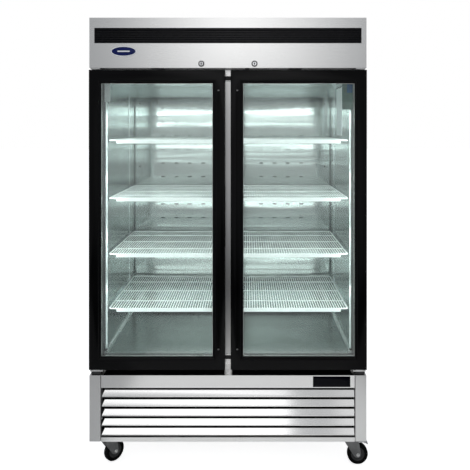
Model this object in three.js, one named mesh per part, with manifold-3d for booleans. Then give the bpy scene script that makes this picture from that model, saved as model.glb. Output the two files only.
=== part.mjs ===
// A two-door glass merchandiser: an upright refrigerated cabinet on four swivel casters.
// Millimetres, +Z up, front facing -Y, origin on the floor under the middle of the cabinet.
import * as THREE from "three";
import { mergeVertices } from "three/addons/utils/BufferGeometryUtils.js";
import Module from "manifold-3d";

// Driving dimensions of the cabinet.
const HALF_WIDTH = 662;
const FRONT = -400; // front face of the doors
const FASCIA = -390; // front face of the header and of the base
const FACE = -330; // cabinet face that the door gaskets seal against
const BACK = 400;
const HEIGHT = 2158;
const SKIRT = 132; // underside of the base
const BASE_TOP = 449;
const HEADER_BOTTOM = 1918;
const GAP = 0.3; // clearance between neighbouring pieces
const SHEET = 2;

// Refrigerated space.
const CAVITY_HALF = 604;
const CAVITY_BACK = 345;
const CAVITY_FLOOR = 530;
const CAVITY_TOP = 1858;
const LINER = 1.5;

// Doors.
const DOOR_BOTTOM = 479;
const DOOR_TOP = 1908;
const DOOR_BACK = -344;
const DOOR_GAP_HALF = 13.3;
const STILE_OUTER = 55;
const STILE_INNER = 58;
const RAIL_TOP = 62;
const RAIL_BOTTOM = 59;
const REBATE = 7;
const LIP_BACK = -390;
const PANE = 8;
const HINGE_X = 640;
const HINGE_Y = -372;
const PIN_RADIUS = 6;
const PIN_BORE = 7;

// Shelves.
const SHELF_LEVELS = [748, 1016, 1291, 1576];
const SHELF_INNER = 34;
const SHELF_OUTER = 592;
const SHELF_FRONT = -310;
const SHELF_BACK = 280;
const SHELF_THICK = 6;
const SHELF_BAR = 10;

// Casters.
const CASTER_X = 590;
const CASTER_Y = 340;
const WHEEL_RADIUS = 50;
const WHEEL_HALF = 15;
const TRAIL = 38;

const wasm = await Module();
wasm.setup();

const LOOKS = {
  steel: { color: 0xc8c8c6, roughness: 0.35, metalness: 1.0 },
  liner: { color: 0xd6dbd8, roughness: 0.3, metalness: 1.0 },
  foam: { color: 0xb9bab8, roughness: 0.45, metalness: 0.8 },
  galvanised: { color: 0xa9acac, roughness: 0.5, metalness: 1.0 },
  black: { color: 0x1d1d1f, roughness: 0.45, metalness: 0.0 },
  gloss: { color: 0x0b0b0f, roughness: 0.08, metalness: 0.0 },
  rubber: { color: 0x2a2a2b, roughness: 0.8, metalness: 0.0 },
  glass: { color: 0xe8f2ee, roughness: 0.03, metalness: 0.0 },
  lamp: { color: 0xf7fbff, roughness: 0.3, metalness: 0.0 },
  wire: { color: 0xf0f2f0, roughness: 0.4, metalness: 0.0 },
  copper: { color: 0x9a8f86, roughness: 0.4, metalness: 1.0 },
  chrome: { color: 0xd8d8da, roughness: 0.12, metalness: 1.0 },
  blue: { color: 0x24348c, roughness: 0.35, metalness: 0.0 },
};

const merchandiser = new THREE.Group();

function add(name, geometry, look, parent = merchandiser) {
  const mesh = new THREE.Mesh(geometry, new THREE.MeshStandardMaterial(LOOKS[look]));
  mesh.name = name;
  parent.add(mesh);
  return mesh;
}

// A box from its lowest to its highest corner.
function block(x0, x1, y0, y1, z0, z1) {
  const box = new THREE.BoxGeometry(x1 - x0, y1 - y0, z1 - z0);
  return box.translate((x0 + x1) / 2, (y0 + y1) / 2, (z0 + z1) / 2);
}

// A cylinder along X, Y or Z whose axis runs from one end coordinate to the other.
function rod(axis, radius, centre, from, to, sides = 16) {
  const made = new THREE.CylinderGeometry(radius, radius, to - from, sides);
  const middle = (from + to) / 2;
  if (axis === "x") return made.rotateZ(-Math.PI / 2).translate(middle, centre[0], centre[1]);
  if (axis === "z") return made.rotateX(Math.PI / 2).translate(centre[0], centre[1], middle);
  return made.translate(centre[0], middle, centre[1]);
}

function outline(points) {
  return new THREE.Shape(points.map(([a, b]) => new THREE.Vector2(a, b)));
}

// Section (y, z) swept along X.
function alongX(points, x0, x1) {
  const made = new THREE.ExtrudeGeometry(outline(points), { depth: x1 - x0, bevelEnabled: false });
  // The sketch plane's axes (a, b, depth) become (y, z, x).
  const turn = new THREE.Matrix4().set(0, 0, 1, x0, 1, 0, 0, 0, 0, 1, 0, 0, 0, 0, 0, 1);
  return made.applyMatrix4(turn);
}

// Plan (x, y) raised along Z.
function alongZ(points, z0, z1) {
  const made = new THREE.ExtrudeGeometry(outline(points), { depth: z1 - z0, bevelEnabled: false });
  return made.translate(0, 0, z0);
}

// Elevation (x, z) with holes, given thickness along Y.
function alongY(shape, y0, y1, curveSegments = 12) {
  const made = new THREE.ExtrudeGeometry(shape, { depth: y1 - y0, bevelEnabled: false, curveSegments });
  return made.rotateX(Math.PI / 2).translate(0, y1, 0);
}

function rectangle(x0, x1, z0, z1, Kind = THREE.Shape) {
  const shape = new Kind();
  shape.moveTo(x0, z0);
  shape.lineTo(x1, z0);
  shape.lineTo(x1, z1);
  shape.lineTo(x0, z1);
  shape.closePath();
  return shape;
}

function solid(geometry) {
  const plain = geometry.clone();
  plain.deleteAttribute("normal");
  plain.deleteAttribute("uv");
  const merged = mergeVertices(plain, 1e-4);
  return new wasm.Manifold(
    new wasm.Mesh({
      numProp: 3,
      vertProperties: new Float32Array(merged.attributes.position.array),
      triVerts: new Uint32Array(merged.index.array),
    }),
  );
}

function geometryOf(manifold) {
  const mesh = manifold.getMesh();
  const geometry = new THREE.BufferGeometry();
  geometry.setAttribute("position", new THREE.BufferAttribute(mesh.vertProperties, 3));
  geometry.setIndex(new THREE.BufferAttribute(mesh.triVerts, 1));
  geometry.computeVertexNormals();
  return geometry;
}

// Joins the pieces, then cuts the holes out of the result.
function carve(pieces, holes = []) {
  let made = solid(pieces[0]);
  for (const piece of pieces.slice(1)) made = made.add(solid(piece));
  for (const hole of holes) made = made.subtract(solid(hole));
  return geometryOf(made);
}

// The same box on the left or the right of the cabinet's middle plane.
function sided(side, x0, x1, y0, y1, z0, z1) {
  return side > 0 ? block(x0, x1, y0, y1, z0, z1) : block(-x1, -x0, y0, y1, z0, z1);
}

const SIDES = [
  ["left", -1],
  ["right", 1],
];

// Insulated walls: the sides reach forward over the doors to carry the header.
const WALL_INNER = CAVITY_HALF + LINER + GAP;
const CORE_BACK = CAVITY_BACK + LINER + GAP;
const WALL_FOOT = BASE_TOP + GAP;
const COVER_FOOT = HEIGHT - SHEET - GAP;
const WALL_SETBACK = 16; // room for the vent insert behind the fascia

for (const [name, side] of SIDES) {
  const section = [
    [FACE, WALL_FOOT],
    [BACK, WALL_FOOT],
    [BACK, COVER_FOOT],
    [FASCIA + WALL_SETBACK, COVER_FOOT],
    [FASCIA + WALL_SETBACK, HEADER_BOTTOM + GAP],
    [FACE, HEADER_BOTTOM + GAP],
  ];
  const x0 = side > 0 ? WALL_INNER : -HALF_WIDTH;
  add("side_wall_" + name, alongX(section, x0, x0 + HALF_WIDTH - WALL_INNER), "steel");
}
const coreHalf = WALL_INNER - GAP;
add("back_wall", block(-coreHalf, coreHalf, CORE_BACK, BACK, WALL_FOOT, COVER_FOOT), "foam");
const slabBack = CORE_BACK - GAP;
const roofFoot = CAVITY_TOP + LINER + GAP;
add("roof_slab", block(-coreHalf, coreHalf, FACE, slabBack, roofFoot, HEADER_BOTTOM - 1), "steel");
const deckTop = CAVITY_FLOOR - LINER - GAP;
add("floor_deck", block(-coreHalf, coreHalf, FACE, slabBack, WALL_FOOT, deckTop), "steel");

// Folded inner liner, open at the front.
{
  const half = CAVITY_HALF + LINER;
  const outer = block(-half, half, FACE, CAVITY_BACK + LINER, CAVITY_FLOOR - LINER, CAVITY_TOP + LINER);
  const room = block(-CAVITY_HALF, CAVITY_HALF, FACE - 1, CAVITY_BACK, CAVITY_FLOOR, CAVITY_TOP);
  add("inner_liner", carve([outer], [room]), "liner");
}

// Header: front sheet and top sheet in one folding, with a return flange over the doors.
const VENT_HALF = 638;
const VENT_BOTTOM = 2036;
const VENT_TOP = 2109;
const LOCK_X = 127;
const LOCK_Z = 1938;
const LOCK_RADIUS = 11;
const TONGUE_Y = -363;
{
  const front = block(-HALF_WIDTH, HALF_WIDTH, FASCIA, FASCIA + SHEET, HEADER_BOTTOM, HEIGHT);
  const top = block(-HALF_WIDTH, HALF_WIDTH, FASCIA, BACK, HEIGHT - SHEET, HEIGHT);
  const flange = block(-coreHalf, coreHalf, FASCIA, FACE - 10, HEADER_BOTTOM, HEADER_BOTTOM + SHEET);
  const returnBack = FASCIA + WALL_SETBACK - GAP;
  const returns = SIDES.map(([, side]) =>
    sided(side, HALF_WIDTH - SHEET, HALF_WIDTH, FASCIA, returnBack, HEADER_BOTTOM, HEIGHT),
  );
  const vent = block(
    -VENT_HALF - GAP, VENT_HALF + GAP, FASCIA - 1, FASCIA + SHEET + 1, VENT_BOTTOM - GAP, VENT_TOP + GAP,
  );
  const holes = [vent];
  for (const [, side] of SIDES) {
    const x = side * LOCK_X;
    holes.push(rod("y", LOCK_RADIUS + 1, [x, LOCK_Z], FASCIA - 1, FASCIA + SHEET + 1, 20));
    const floor = HEADER_BOTTOM;
    holes.push(block(x - 10, x + 30, TONGUE_Y - 3, TONGUE_Y + 6, floor - 1, floor + SHEET + 1));
  }
  add("header_cover", carve([front, top, flange, ...returns], holes), "steel");
}

// Black vent insert with forward-leaning ribs.
{
  const ribs = 5;
  const pitch = (VENT_TOP - VENT_BOTTOM) / ribs;
  const plateBack = FASCIA + 12;
  const valley = FASCIA + 5;
  const section = [[plateBack, VENT_BOTTOM]];
  section.push([valley, VENT_BOTTOM]);
  for (let i = 0; i < ribs; i += 1) {
    const z = VENT_BOTTOM + i * pitch;
    section.push([FASCIA - 1, z + pitch * 0.25]);
    section.push([FASCIA - 1, z + pitch * 0.5]);
    section.push([valley, z + pitch * 0.9]);
  }
  section.push([valley, VENT_TOP]);
  section.push([plateBack, VENT_TOP]);
  add("header_vent", alongX(section.reverse(), -VENT_HALF, VENT_HALF), "black");
}

// Blank oval badge.
{
  const oval = new THREE.Shape();
  oval.absellipse(-498, 1997, 61, 25, 0, 2 * Math.PI, false);
  add("badge", alongY(oval, FASCIA - 3, FASCIA - GAP, 20), "blue");
}

// Cam locks: a barrel through the header with a tongue that turns down towards the door.
for (const [name, side] of SIDES) {
  const x = side * LOCK_X;
  const head = rod("y", LOCK_RADIUS + 3, [x, LOCK_Z], FASCIA - 5, FASCIA - GAP, 20);
  const barrel = rod("y", LOCK_RADIUS, [x, LOCK_Z], FASCIA - 5, TONGUE_Y, 20);
  const tongue = block(x - 7, x + 26, TONGUE_Y - 1, TONGUE_Y + 3, LOCK_Z - 7, LOCK_Z + 7);
  add("lock_" + name, carve([head, barrel, tongue]), "chrome");
}

// Centre mullion, pilasters and light bars inside the cabinet face.
{
  const face = block(-30, 30, FACE, FACE + 8, CAVITY_FLOOR + GAP, CAVITY_TOP - GAP);
  const core = block(-22, 22, FACE + 8, FACE + 45, CAVITY_FLOOR + GAP, CAVITY_TOP - GAP);
  add("centre_mullion", carve([face, core]), "steel");
}
for (const [name, side] of SIDES) {
  const outer = CAVITY_HALF - GAP;
  add("pilaster_front_" + name, sided(side, outer - 6, outer, -314, -270, 540, 1848), "liner");
  add("pilaster_rear_" + name, sided(side, outer - 6, outer, 200, 240, 540, 1848), "liner");
  add("light_bar_" + name, sided(side, outer - 12, outer, -328, -316, 545, 1845), "lamp");
}

// Wire shelves: one per door on each level, drawn as a flat grid with a front band.
function shelf(side, level) {
  const x0 = side > 0 ? SHELF_INNER : -SHELF_OUTER;
  const x1 = side > 0 ? SHELF_OUTER : -SHELF_INNER;
  const foot = level - SHELF_THICK;
  const flat = block(x0, x1, SHELF_FRONT, SHELF_BACK, foot, level);
  const band = block(x0 + 40, x1 - 40, SHELF_FRONT, SHELF_FRONT + 4, level - 24, level - 1);
  const columns = 6;
  const rows = 2;
  const cellX = (x1 - x0 - SHELF_BAR) / columns;
  const cellY = (SHELF_BACK - SHELF_FRONT - SHELF_BAR) / rows;
  const holes = [];
  for (let i = 0; i < columns; i += 1) {
    for (let j = 0; j < rows; j += 1) {
      const a = x0 + SHELF_BAR + i * cellX;
      const b = SHELF_FRONT + SHELF_BAR + j * cellY;
      holes.push(block(a, a + cellX - SHELF_BAR, b, b + cellY - SHELF_BAR, foot - 1, level + 1));
    }
  }
  return carve([flat, band], holes);
}
for (const [name, side] of SIDES) {
  SHELF_LEVELS.forEach((level, i) => add(`shelf_${name}_${i + 1}`, shelf(side, level), "wire"));
}

// Air duct: a hat-shaped sheet in front of the evaporator space.
{
  const half = CAVITY_HALF - 0.5;
  const raised = 480;
  const flangeY = 303;
  const panelY = 290;
  const t = LINER;
  const plan = [
    [-half, flangeY],
    [-raised - t, flangeY],
    [-raised - t, panelY],
    [raised + t, panelY],
    [raised + t, flangeY],
    [half, flangeY],
    [half, flangeY + t],
    [raised, flangeY + t],
    [raised, panelY + t],
    [-raised, panelY + t],
    [-raised, flangeY + t],
    [-half, flangeY + t],
  ];
  add("air_duct_panel", alongZ(plan, 560, 1816), "liner");
}

// A fan rotor on an axis along Y: a hub with pitched blades.
function rotor(centre, hubRadius, tipRadius, y0, y1, blades) {
  const pieces = [rod("y", hubRadius, centre, y0, y1, 16)];
  const middle = (y0 + y1) / 2;
  for (let i = 0; i < blades; i += 1) {
    const blade = block(hubRadius - 4, tipRadius, -1.2, 1.2, -tipRadius * 0.24, tipRadius * 0.24);
    blade.rotateX(0.5).rotateY((i * 2 * Math.PI) / blades);
    pieces.push(blade.translate(centre[0], middle, centre[1]));
  }
  return carve(pieces);
}

// Evaporator coil with its fan's pancake motor, in the duct.
const EVAPORATOR_FAN = [0, 1640];
{
  const coil = block(-430, 430, 308, 343, 1300, 1500);
  const strap = block(-14, 14, 340, 344, 1490, 1640);
  const motor = rod("y", 28, EVAPORATOR_FAN, 337, 344, 16);
  add("evaporator", carve([coil, strap, motor]), "copper");
  add("evaporator_fan", rotor(EVAPORATOR_FAN, 24, 92, 310, 336, 5), "black");
}

// Base: side panels with front posts, front top panel, grille, chassis tray and rear grille.
const POST_INNER = 609;
const BASE_SHEET = 4;
const BASE_HEAD = BASE_TOP - SHEET;
const PANEL_FOOT = 389;
const PANEL_HALF = 606;
for (const [name, side] of SIDES) {
  const plan = [
    [HALF_WIDTH, FASCIA],
    [HALF_WIDTH, BACK],
    [HALF_WIDTH - BASE_SHEET, BACK],
    [HALF_WIDTH - BASE_SHEET, FASCIA + 18],
    [POST_INNER, FASCIA + 18],
    [POST_INNER, FASCIA],
  ];
  const placed = side > 0 ? plan : plan.map(([x, y]) => [-x, y]).reverse();
  add("base_side_" + name, alongZ(placed, SKIRT, BASE_HEAD - GAP), "steel");
}
const WINDOW = { x0: 407, x1: 584, z0: 394, z1: 444 };
{
  const { x0, x1, z0, z1 } = WINDOW;
  const front = block(-PANEL_HALF, PANEL_HALF, FASCIA, FASCIA + SHEET, PANEL_FOOT, BASE_TOP);
  const top = block(-HALF_WIDTH, HALF_WIDTH, FASCIA, FACE + 30, BASE_HEAD, BASE_TOP);
  const cut = block(x0 - GAP, x1 + GAP, FASCIA - 1, FASCIA + SHEET + 1, z0 - GAP, z1 + GAP);
  add("base_top_panel", carve([front, top], [cut]), "steel");
  add("controller_window", block(x0, x1, FASCIA - 1.5, FASCIA + 16, z0, z1), "gloss");
}

// Louvre grille: five slats on three stiles.
const SLATS = 5;
const SLAT_PITCH = 45.6;
const SLAT_HEIGHT = 35;
const SLAT_TOP = 380;
const GRILLE_HALF = 604;
{
  const pieces = [];
  for (let i = 0; i < SLATS; i += 1) {
    const top = SLAT_TOP - i * SLAT_PITCH;
    const foot = top - SLAT_HEIGHT;
    const section = [
      [FASCIA + 5, top],
      [FASCIA, foot + 4],
      [FASCIA, foot],
      [FASCIA + 12, foot],
      [FASCIA + 12, foot + 3],
      [FASCIA + 4, foot + 4],
      [FASCIA + 9, top],
    ];
    pieces.push(alongX(section.reverse(), -GRILLE_HALF, GRILLE_HALF));
  }
  for (const x of [-GRILLE_HALF, -3, GRILLE_HALF - 6]) {
    pieces.push(block(x, x + 6, FASCIA + 8, FASCIA + 22, 157, 386));
  }
  add("louvre_grille", carve(pieces), "steel");
}
{
  const behindPosts = FASCIA + 19;
  const floor = block(-656, 656, behindPosts, BACK - 4, SKIRT, SKIRT + 4);
  const nose = block(-PANEL_HALF, PANEL_HALF, FASCIA, behindPosts, SKIRT, SKIRT + 4);
  const rail = block(-PANEL_HALF, PANEL_HALF, FASCIA, FASCIA + 3, SKIRT, 153);
  add("chassis_tray", carve([floor, nose, rail]), "steel");
}

const INLET = [-560, 200];
{
  const half = 657.5;
  const plate = block(-half, half, BACK - 3, BACK, SKIRT + 5, BASE_HEAD - 1);
  const holes = [rod("y", 14.5, INLET, BACK - 5, BACK + 5, 16)];
  const columns = 5;
  const rows = 5;
  for (let i = 0; i < columns; i += 1) {
    for (let j = 0; j < rows; j += 1) {
      const a = -470 + i * 200;
      const b = 200 + j * 42;
      holes.push(block(a, a + 150, BACK - 5, BACK + 5, b, b + 14));
    }
  }
  add("rear_grille", carve([plate], holes), "galvanised");
  const gland = rod("y", 14, INLET, BACK - 16, BACK - 0.5, 16);
  const nut = rod("y", 19, INLET, BACK - 16, BACK - 4, 6);
  add("power_inlet", carve([gland, nut], [rod("y", 5, INLET, BACK - 10, BACK + 1, 12)]), "black");
}

// Condensing unit: hermetic compressor, and a coil with shroud and motor behind the louvres.
{
  const profile = [
    [0, 0],
    [86, 0],
    [92, 14],
    [92, 90],
    [98, 94],
    [98, 102],
    [92, 106],
    [86, 150],
    [60, 176],
    [0, 184],
  ].map(([r, z]) => new THREE.Vector2(r, z));
  const shell = new THREE.LatheGeometry(profile, 24).rotateX(Math.PI / 2);
  const floor = SKIRT + 4 + GAP;
  const feet = block(-110, 110, -70, 70, 0, 6);
  const terminals = block(80, 112, -26, 26, 50, 110);
  const made = carve([shell.translate(0, 0, 5), feet, terminals]);
  add("compressor", made.translate(-260, 120, floor), "black");
}
const CONDENSER_FAN = [170, 262];
{
  const [x, z] = CONDENSER_FAN;
  const floor = SKIRT + 4 + GAP;
  const coil = block(x - 230, x + 230, -352, -292, floor, 390);
  const shroud = block(x - 125, x + 125, -294, -240, floor, 385);
  const mouth = rod("y", 112, CONDENSER_FAN, -291, -230, 24);
  const arms = [-1, 1].map((s) => block(x + s * 118 - 4, x + s * 118 + 4, -242, -150, z - 10, z + 10));
  const strap = block(x - 122, x + 122, -154, -150, z - 10, z + 10);
  const motor = rod("y", 34, CONDENSER_FAN, -196, -150, 16);
  add("condenser", carve([coil, shroud, ...arms, strap, motor], [mouth]), "copper");
  add("condenser_fan", rotor(CONDENSER_FAN, 20, 100, -286, -200, 5), "black");
}

// Doors: frame, glass and gasket, hung on pins at the outer edges.
for (const [name, side] of SIDES) {
  const inner = DOOR_GAP_HALF;
  const outer = HALF_WIDTH;
  const openX0 = inner + STILE_INNER;
  const openX1 = outer - STILE_OUTER;
  const openZ0 = DOOR_BOTTOM + RAIL_BOTTOM;
  const openZ1 = DOOR_TOP - RAIL_TOP;
  const whole = sided(side, inner, outer, FRONT, DOOR_BACK, DOOR_BOTTOM, DOOR_TOP);
  const sight = sided(side, openX0, openX1, FRONT - 1, DOOR_BACK + 1, openZ0, openZ1);
  const glassX0 = openX0 - REBATE;
  const glassX1 = openX1 + REBATE;
  const glassZ0 = openZ0 - REBATE;
  const glassZ1 = openZ1 + REBATE;
  const rebate = sided(side, glassX0, glassX1, LIP_BACK, DOOR_BACK + 1, glassZ0, glassZ1);
  const axis = [side * HINGE_X, HINGE_Y];
  const sockets = [
    rod("z", PIN_BORE, axis, DOOR_BOTTOM - 1, DOOR_BOTTOM + 28, 12),
    rod("z", PIN_BORE, axis, DOOR_TOP - 28, DOOR_TOP + 1, 12),
  ];
  add("door_frame_" + name, carve([whole], [sight, rebate, ...sockets]), "black");
  const glassFront = LIP_BACK + GAP;
  const e = GAP;
  const pane = sided(
    side, glassX0 + e, glassX1 - e, glassFront, glassFront + PANE, glassZ0 + e, glassZ1 - e,
  );
  add("door_glass_" + name, pane, "glass");
  const seal = rectangle(15, 636, 487, 1900);
  seal.holes.push(rectangle(29, 622, 501, 1886, THREE.Path));
  const ring = alongY(seal, DOOR_BACK + GAP, FACE - GAP);
  if (side < 0) ring.rotateZ(Math.PI).translate(0, DOOR_BACK + FACE, 0);
  add("door_gasket_" + name, ring, "rubber");

  const plateX0 = 612;
  const plateX1 = 658;
  const topPlate = sided(side, plateX0, plateX1, HINGE_Y - 14, FACE - 6, 1912, HEADER_BOTTOM - 0.1);
  const topPin = rod("z", PIN_RADIUS, axis, DOOR_TOP - 24, 1914, 12);
  add("hinge_top_" + name, carve([topPlate, topPin]), "steel");
  const lowPlate = sided(side, 597, plateX1, FASCIA - 2, FACE - 6, 468, DOOR_BOTTOM - 3);
  const knuckle = sided(side, plateX0, plateX1 - 2, FASCIA + 8, FACE - 6, WALL_FOOT, 469);
  const lowPin = rod("z", PIN_RADIUS, axis, 470, DOOR_BOTTOM + 24, 12);
  add("hinge_bottom_" + name, carve([lowPlate, knuckle, lowPin]), "steel");
}

// Swivel casters: local frame has the swivel axis on Z and the wheel trailing along +X.
const CASTERS = [
  ["front_left", -1, -1, 45],
  ["front_right", 1, -1, 0],
  ["rear_left", -1, 1, 180],
  ["rear_right", 1, 1, -90],
];
const CROWN_FOOT = 112;
const LEG_INNER = 17.5;
const LEG_OUTER = 20.5;
const BRAKE_PIVOT = [33, 107];

function casterFork(braked) {
  const head = rod("z", 29, [0, 0], 117, SKIRT - GAP, 20);
  const crown = block(-28, 30, -LEG_OUTER, LEG_OUTER, CROWN_FOOT, 118);
  const pieces = [head, crown];
  for (const s of [-1, 1]) {
    const leg = outline([
      [-24, 113],
      [24, 40],
      [52, 40],
      [52, 60],
      [42, 113],
    ]);
    const y0 = s > 0 ? LEG_INNER : -LEG_OUTER;
    pieces.push(alongY(leg, y0, y0 + LEG_OUTER - LEG_INNER));
  }
  pieces.push(rod("y", 6, [TRAIL, WHEEL_RADIUS], -23, 23, 12));
  if (braked) pieces.push(rod("y", 2.5, BRAKE_PIVOT, -18, 18, 8));
  return pieces;
}

// The tread's flats, not its corners, lie on the wheel radius, so that one flat rests on the floor.
function casterWheel() {
  const sides = 24;
  const r = WHEEL_RADIUS / Math.cos(Math.PI / sides);
  const w = WHEEL_HALF;
  const profile = [
    [6.4, -w],
    [14, -w],
    [30, -w + 4],
    [r - 4, -w],
    [r, -w + 5],
    [r, w - 5],
    [r - 4, w],
    [30, w - 4],
    [14, w],
    [6.4, w],
    [6.4, -w],
  ].map(([a, b]) => new THREE.Vector2(a, b));
  return new THREE.LatheGeometry(profile, sides).rotateY(Math.PI / sides);
}

function brakePedal() {
  const [x, z] = BRAKE_PIVOT;
  const plate = alongY(
    outline([
      [x, z - 3],
      [62, 106],
      [88, 97],
      [88, 102],
      [64, 113],
      [x, z + 3],
    ]),
    -14,
    14,
  );
  const barrel = rod("y", 4.6, BRAKE_PIVOT, -14, 14, 12);
  return carve([plate, barrel], [rod("y", 2.9, BRAKE_PIVOT, -20, 20, 12)]);
}

for (const [name, sideX, sideY, yaw] of CASTERS) {
  const caster = new THREE.Group();
  caster.position.set(sideX * CASTER_X, sideY * CASTER_Y, 0);
  caster.rotation.z = THREE.MathUtils.degToRad(yaw);
  merchandiser.add(caster);
  const braked = sideY < 0;
  add("caster_fork_" + name, carve(casterFork(braked)), "galvanised", caster);
  const wheel = add("caster_wheel_" + name, casterWheel(), "rubber", caster);
  wheel.position.set(TRAIL, 0, WHEEL_RADIUS);
  if (braked) add("brake_pedal_" + name, brakePedal(), "chrome", caster);
}

export default merchandiser;
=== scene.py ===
import math

import bpy
import bmesh
from mathutils import Matrix, Vector


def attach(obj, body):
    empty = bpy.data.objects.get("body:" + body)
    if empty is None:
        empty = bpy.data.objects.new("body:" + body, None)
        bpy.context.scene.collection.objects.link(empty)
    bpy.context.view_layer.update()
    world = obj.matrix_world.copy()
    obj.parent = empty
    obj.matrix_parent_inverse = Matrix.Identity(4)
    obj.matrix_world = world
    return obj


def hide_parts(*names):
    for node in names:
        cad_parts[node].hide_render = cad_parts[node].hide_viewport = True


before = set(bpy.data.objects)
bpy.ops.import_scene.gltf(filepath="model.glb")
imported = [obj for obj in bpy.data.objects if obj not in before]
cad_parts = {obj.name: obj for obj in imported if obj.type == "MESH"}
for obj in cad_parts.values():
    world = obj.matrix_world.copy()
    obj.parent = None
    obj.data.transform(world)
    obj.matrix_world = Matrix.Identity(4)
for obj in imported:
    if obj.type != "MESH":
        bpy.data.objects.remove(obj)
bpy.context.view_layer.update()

SIDES = (("left", -1), ("right", 1))
MM = 0.001
SHELF_LEVELS = (748, 1016, 1291, 1576)  # tops of the shelves, millimetres
SHELF_FRONT, SHELF_BACK = -310, 280
SHELF_WIRES = 45
LOUVRES = 5
LOUVRE_FOOT = 345.0  # lower edge of the highest louvre
LOUVRE_PITCH = 45.6
LOUVRE_RISE = 31.2
LOUVRE_LEAN = 14 / 30.8  # how far the cut left end leans over, for each millimetre of height
HINGE_X = 640  # the door pins' distance from the middle
HINGE_Y = -0.372
WHEEL_CENTRE = (38 * MM, 0, 50 * MM)  # from the foot of the caster's stem


# ---------------- camera and lights

FOCAL_PIXELS = 538.0
FRAME_PIXELS = 470.0
SENSOR = 36.0
EYE = Vector((0.096, -2.96, 1.626))
HORIZON_SHIFT = (-0.0277, -0.2255)
COOL = (0.89, 1.0, 0.985)  # tint of the lamps inside
# Level strips inside the doors: height above the floor, their own height, and radiance.
STREAKS = ((1.745, 0.014, 3.6), (1.70, 0.006, 2.2), (1.655, 0.010, 2.6), (1.50, 0.012, 2.6),
           (1.44, 0.006, 2.0), (1.385, 0.010, 1.1), (1.17, 0.006, 1.0), (1.095, 0.016, 1.8),
           (0.93, 0.010, 1.5), (0.69, 0.02, 1.7), (0.62, 0.05, 0.7))
SLAT_CARD_HEIGHT = 0.50
LAMP_Y = -0.345  # just behind the door glass
DOOR_MIDDLE = 0.32
STREAK_WIDTH = 0.50


def make_camera():
    data = bpy.data.cameras.new("camera")
    data.sensor_width = SENSOR
    data.lens = SENSOR * FOCAL_PIXELS / FRAME_PIXELS
    data.shift_x, data.shift_y = HORIZON_SHIFT
    data.dof.use_dof = False
    camera = bpy.data.objects.new("camera", data)
    camera.location = EYE
    camera.rotation_euler = (math.pi / 2, 0, 0)
    bpy.context.scene.collection.objects.link(camera)
    bpy.context.scene.camera = camera


def area_light(name, place, target, size, power, tint=(1, 1, 1)):
    data = bpy.data.lights.new(name, "AREA")
    data.shape = "RECTANGLE"
    data.size, data.size_y = size
    data.energy = power
    data.color = tint
    lamp = bpy.data.objects.new(name, data)
    lamp.location = place
    aim = Vector(target) - Vector(place)
    lamp.rotation_euler = aim.to_track_quat("-Z", "Y").to_euler()
    lamp.visible_camera = False
    bpy.context.scene.collection.objects.link(lamp)
    return lamp


def make_world():
    world = bpy.data.worlds.new("studio")
    bpy.context.scene.world = world
    world.use_nodes = True
    nodes, links = world.node_tree.nodes, world.node_tree.links
    nodes.clear()
    out = nodes.new("ShaderNodeOutputWorld")
    seen = nodes.new("ShaderNodeBackground")
    seen.inputs["Color"].default_value = (1, 1, 1, 1)
    seen.inputs["Strength"].default_value = 1.0
    lit = nodes.new("ShaderNodeBackground")
    lit.inputs["Color"].default_value = (0.93, 0.96, 1.0, 1)
    lit.inputs["Strength"].default_value = 0.39
    path = nodes.new("ShaderNodeLightPath")
    mix = nodes.new("ShaderNodeMixShader")
    links.new(path.outputs["Is Camera Ray"], mix.inputs[0])
    links.new(lit.outputs[0], mix.inputs[1])
    links.new(seen.outputs[0], mix.inputs[2])
    links.new(mix.outputs[0], out.inputs["Surface"])


def card(name, x0, x1, z0, z1, y, radiance):
    """An upright white card in front of the object, seen only in reflections and as soft light."""
    width, height = x1 - x0, z1 - z0
    middle = ((x0 + x1) / 2, y, (z0 + z1) / 2)
    return area_light(name, middle, (middle[0], 0, middle[2]), (width, height),
                      radiance * math.pi * width * height)


def floor_card(name, x0, x1, y0, y1, radiance):
    """A bright patch of floor in front of the object, for the base to reflect."""
    width, depth = x1 - x0, y1 - y0
    middle = ((x0 + x1) / 2, (y0 + y1) / 2, 0.012)
    lamp = area_light(name, middle, (middle[0], middle[1] + 0.0001, 1), (width, depth),
                      radiance * math.pi * width * depth)
    lamp.rotation_euler = (math.pi, 0, 0)
    return lamp


def make_studio_cards():
    """Nested cards shade the header and the base panel from a bright middle to darker ends."""
    for step, half in enumerate((0.35, 0.78, 1.22)):
        card(f"header_card_{step}", -half, half, 2.14, 3.4, -3.6 - 0.01 * step, 0.385)
    for step, half in enumerate((0.10, 0.21, 0.33, 0.46, 0.60, 0.76)):
        floor_card(f"panel_card_{step}", 0.12 - half, 0.12 + half, -1.75, -0.55, 0.35)
    card("door_card", -2.0, 2.0, 0.66, 1.92, -3.7, 0.22)
    for name, x0, x1, radiance in (("left", -1.05, 0.35, 0.135), ("right", 0.64, 1.0, 0.045)):
        lamp = area_light("slat_card_" + name, ((x0 + x1) / 2, -1.2, 0.35),
                          ((x0 + x1) / 2, 0, 0.10), (x1 - x0, SLAT_CARD_HEIGHT),
                          radiance * math.pi * (x1 - x0) * SLAT_CARD_HEIGHT)
        lamp.data.spread = math.radians(64)
    area_light("overhead", (0.0, -0.8, 4.2), (0, -0.6, 0), (4.0, 3.0), 24)


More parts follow.
